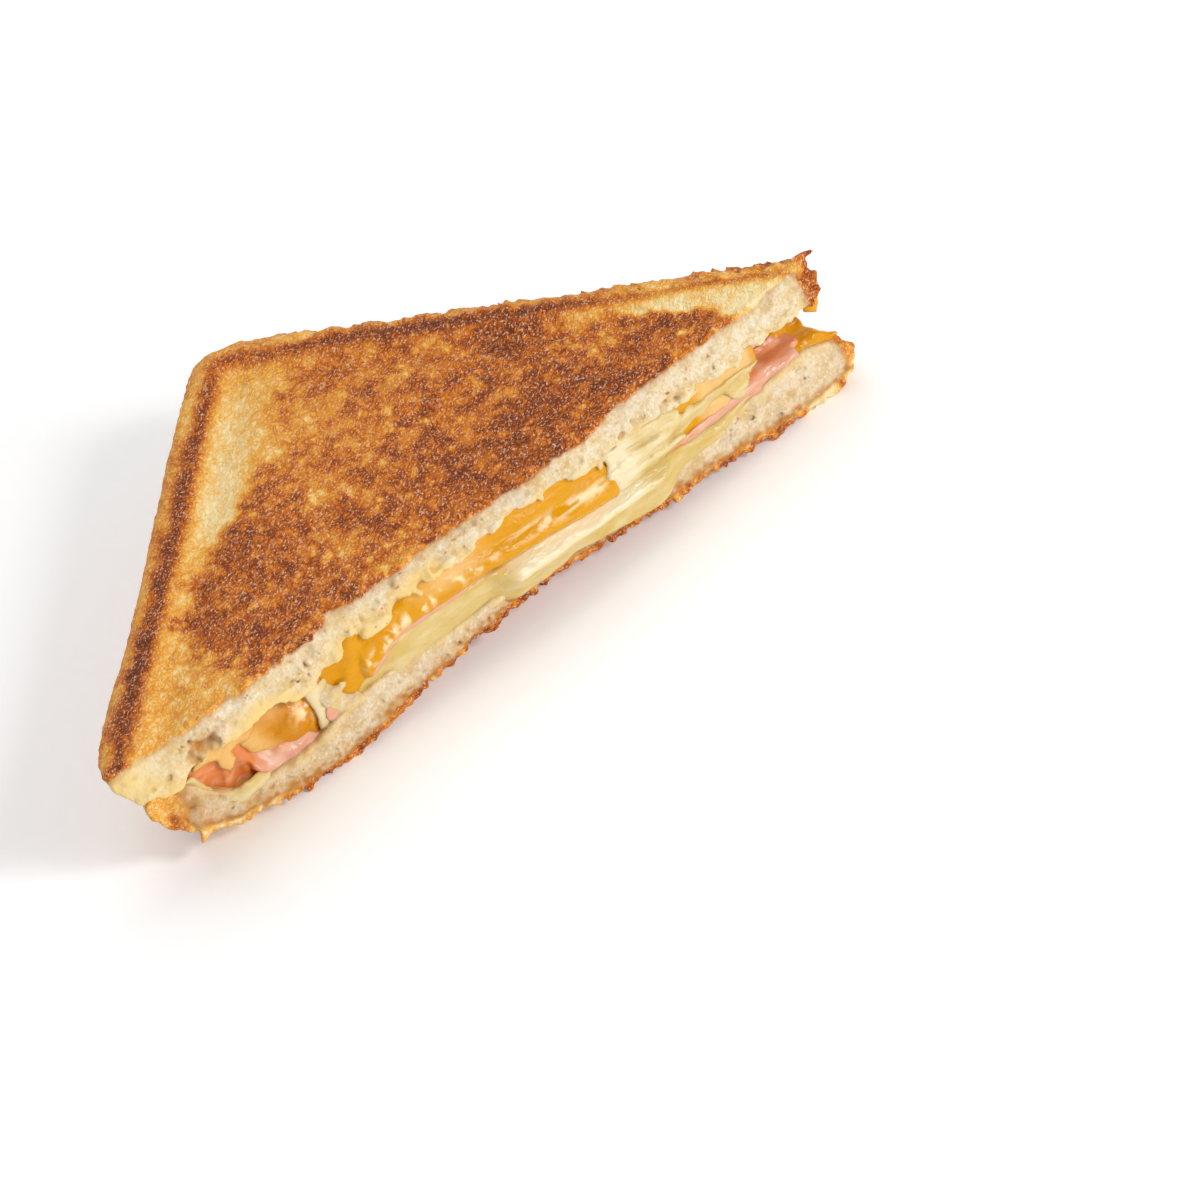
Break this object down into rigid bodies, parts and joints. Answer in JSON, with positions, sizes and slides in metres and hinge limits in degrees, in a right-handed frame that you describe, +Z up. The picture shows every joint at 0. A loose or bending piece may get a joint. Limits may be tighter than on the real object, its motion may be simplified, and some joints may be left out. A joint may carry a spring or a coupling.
{
  "type": "ham and cheese toastie half",
  "caption": "Triangular half of a toasted ham and cheese sandwich, cut from corner to corner, lying flat with melted cheese showing at the cut.",
  "frame": {"origin": "on the surface it lies on, under the middle of the whole half seen from above", "axes": "+X along the cut, to the right when facing the cut face; +Y from the cut face back to the bread's own corner; +Z up from the bottom slice to the top slice"},
  "size_m": [0.1512, 0.0774, 0.0268],
  "materials": {
    "toasted_bread": "matte toasted crust and crumb",
    "pale_cheese": "soft gloss of melted cheese",
    "orange_cheese": "wet gloss of melted cheese",
    "ham": "moist satin of cured ham"
  },
  "bodies": {
    "root": {"bottom_slice": "toasted_bread", "pale_cheese": "pale_cheese", "ham_slice": "ham", "pale_cheese_wedge": "pale_cheese", "orange_cheese": "orange_cheese", "top_slice": "toasted_bread"}
  },
  "joints": []
}
